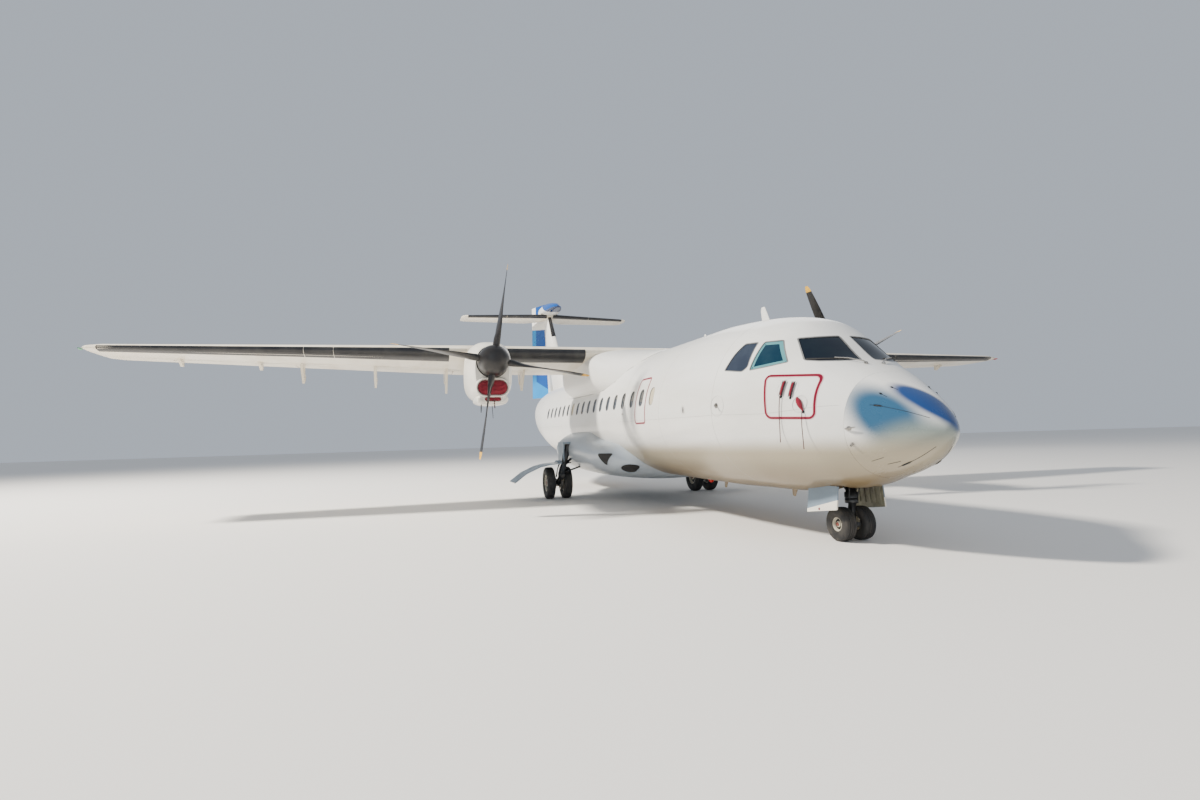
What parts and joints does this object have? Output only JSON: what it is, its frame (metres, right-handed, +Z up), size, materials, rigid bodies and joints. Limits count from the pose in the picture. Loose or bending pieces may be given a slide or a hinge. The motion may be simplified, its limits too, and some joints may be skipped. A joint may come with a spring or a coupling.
{
  "type": "turboprop airliner",
  "caption": "Twin-engined high-wing turboprop regional airliner with a T-tail, parked on tricycle landing gear, its propellers feathered and its intakes covered.",
  "frame": {"origin": "on the ground below the middle of the overall length and span, at rest on its wheels", "axes": "+X forward, +Y to port, +Z up"},
  "size_m": [22.5036, 24.57, 7.5857],
  "materials": {
    "white_skin": "gloss white paint over aluminium alloy skin",
    "white_composite": "gloss white paint over composite panels",
    "blue_composite": "gloss blue paint over composite panels",
    "cockpit_glass": "tinted laminated glass",
    "dark_blade": "satin near-black composite",
    "engine_metal": "plain metal, hidden inside the nacelle",
    "red_cover": "red padded fabric",
    "gear_steel": "dark painted steel",
    "wheel_metal": "cream painted alloy",
    "tyre": "black tyre rubber"
  },
  "bodies": {
    "airframe": {"aft_side_window_left": "cockpit_glass", "aft_side_window_right": "cockpit_glass", "engine_left": "engine_metal", "engine_right": "engine_metal", "fin": "white_composite", "fin_cap": "blue_composite", "fuselage": "white_skin", "intake_cover_left": "red_cover", "intake_cover_right": "red_cover", "landing_gear_fairing": "white_composite", "main_gear_door_left": "white_composite", "main_gear_door_right": "white_composite", "main_gear_leg_left": "gear_steel", "main_gear_leg_right": "gear_steel", "nacelle_left": "white_skin", "nacelle_right": "white_skin", "nose_gear_door_left": "white_composite", "nose_gear_door_right": "white_composite", "nose_gear_leg": "gear_steel", "radome": "white_composite", "service_door": "white_skin", "side_window_left": "cockpit_glass", "side_window_right": "cockpit_glass", "tailplane": "white_composite", "windscreen_left": "cockpit_glass", "windscreen_right": "cockpit_glass", "wing_centre": "white_skin", "wing_fairing": "white_composite", "wing_left": "white_skin", "wing_right": "white_skin"},
    "passenger_door": {"passenger_door": "white_skin"},
    "cargo_door": {"cargo_door": "white_skin"},
    "rudder": {"rudder": "blue_composite"},
    "inner_flap_left": {"inner_flap_left": "white_composite"},
    "inner_flap_right": {"inner_flap_right": "white_composite"},
    "outer_flap_left": {"outer_flap_left": "white_composite"},
    "outer_flap_right": {"outer_flap_right": "white_composite"},
    "aileron_left": {"aileron_left": "white_composite"},
    "aileron_right": {"aileron_right": "white_composite"},
    "elevator_left": {"elevator_left": "white_composite"},
    "elevator_right": {"elevator_right": "white_composite"},
    "propeller_left": {"propeller_left": "dark_blade", "spinner_left": "dark_blade"},
    "main_wheels_left": {"main_wheel_left": "wheel_metal", "main_tyre_left_outer": "tyre", "main_tyre_left_inner": "tyre"},
    "propeller_right": {"propeller_right": "dark_blade", "spinner_right": "dark_blade"},
    "main_wheels_right": {"main_wheel_right": "wheel_metal", "main_tyre_right_outer": "tyre", "main_tyre_right_inner": "tyre"},
    "nose_steering": {"nose_gear_fork": "gear_steel"},
    "nose_wheels": {"nose_wheel": "wheel_metal", "nose_tyre_left": "tyre", "nose_tyre_right": "tyre"}
  },
  "joints": [
    {"name": "passenger_door_hinge", "type": "hinge", "parent": "airframe", "child": "passenger_door", "pos_m": [-4.96951, 1.00919, 1.34993], "axis": [0.9813, 0.1917, -0.0183], "range_deg": [-130, 0]},
    {"name": "cargo_door_hinge", "type": "hinge", "parent": "airframe", "child": "cargo_door", "pos_m": [7.08233, 1.29334, 2.53853], "axis": [0.9995, -0.0236, -0.0186], "range_deg": [0, 115]},
    {"name": "inner_flap_hinge_left", "type": "hinge", "parent": "airframe", "child": "inner_flap_left", "pos_m": [0.28774, 1.64, 3.02277], "axis": [0, 1, 0], "range_deg": [-35, 0]},
    {"name": "outer_flap_hinge_left", "type": "hinge", "parent": "airframe", "child": "outer_flap_left", "pos_m": [0.28938, 4.64, 3.03275], "axis": [0.0068, 0.9992, 0.0402], "range_deg": [-35, 0]},
    {"name": "aileron_hinge_left", "type": "hinge", "parent": "airframe", "child": "aileron_left", "pos_m": [0.16833, 8.34, 3.57797], "axis": [0.0211, 0.9994, 0.0276], "range_deg": [-14, 14]},
    {"name": "elevator_hinge_left", "type": "hinge", "parent": "airframe", "child": "elevator_left", "pos_m": [-10.55991, 0.24, 6.91161], "axis": [0, 1, 0], "range_deg": [-13, 23]},
    {"name": "inner_flap_hinge_right", "type": "hinge", "parent": "airframe", "child": "inner_flap_right", "pos_m": [0.28774, -1.64, 3.02277], "axis": [0, 1, 0], "range_deg": [-35, 0]},
    {"name": "outer_flap_hinge_right", "type": "hinge", "parent": "airframe", "child": "outer_flap_right", "pos_m": [0.28938, -4.64, 3.03275], "axis": [-0.0068, 0.9992, -0.0402], "range_deg": [-35, 0]},
    {"name": "aileron_hinge_right", "type": "hinge", "parent": "airframe", "child": "aileron_right", "pos_m": [0.16833, -8.34, 3.57797], "axis": [-0.0211, 0.9994, -0.0276], "range_deg": [-14, 14]},
    {"name": "elevator_hinge_right", "type": "hinge", "parent": "airframe", "child": "elevator_right", "pos_m": [-10.55991, -0.24, 6.91161], "axis": [0, 1, 0], "range_deg": [-13, 23]},
    {"name": "rudder_hinge", "type": "hinge", "parent": "airframe", "child": "rudder", "pos_m": [-9.43521, 0, 3.39009], "axis": [-0.1918, 0, 0.9814], "range_deg": [-51, 3]},
    {"name": "propeller_spin_left", "type": "hinge", "parent": "airframe", "child": "propeller_left", "pos_m": [4.16677, 4.05, 3.10105], "axis": [0.9998, 0, -0.0186], "continuous": true},
    {"name": "propeller_spin_right", "type": "hinge", "parent": "airframe", "child": "propeller_right", "pos_m": [4.16677, -4.05, 3.10105], "axis": [0.9998, 0, -0.0186], "continuous": true},
    {"name": "main_wheel_spin_left", "type": "hinge", "parent": "airframe", "child": "main_wheels_left", "pos_m": [0.6535, 2.05, 0.4065], "axis": [0, 1, 0], "continuous": true},
    {"name": "main_wheel_spin_right", "type": "hinge", "parent": "airframe", "child": "main_wheels_right", "pos_m": [0.6535, -2.05, 0.4065], "axis": [0, 1, 0], "continuous": true},
    {"name": "nose_steering", "type": "hinge", "parent": "airframe", "child": "nose_steering", "pos_m": [9.4775, 0, 0.56], "axis": [0, 0, 1], "range_deg": [-60, 60]},
    {"name": "nose_wheel_spin", "type": "hinge", "parent": "nose_steering", "child": "nose_wheels", "pos_m": [9.4375, 0, 0.225], "axis": [0, 1, 0], "continuous": true}
  ],
  "couplings": [
    {"joint": "aileron_hinge_right", "follows": "aileron_hinge_left", "ratio": -1},
    {"joint": "elevator_hinge_right", "follows": "elevator_hinge_left", "ratio": 1}
  ]
}
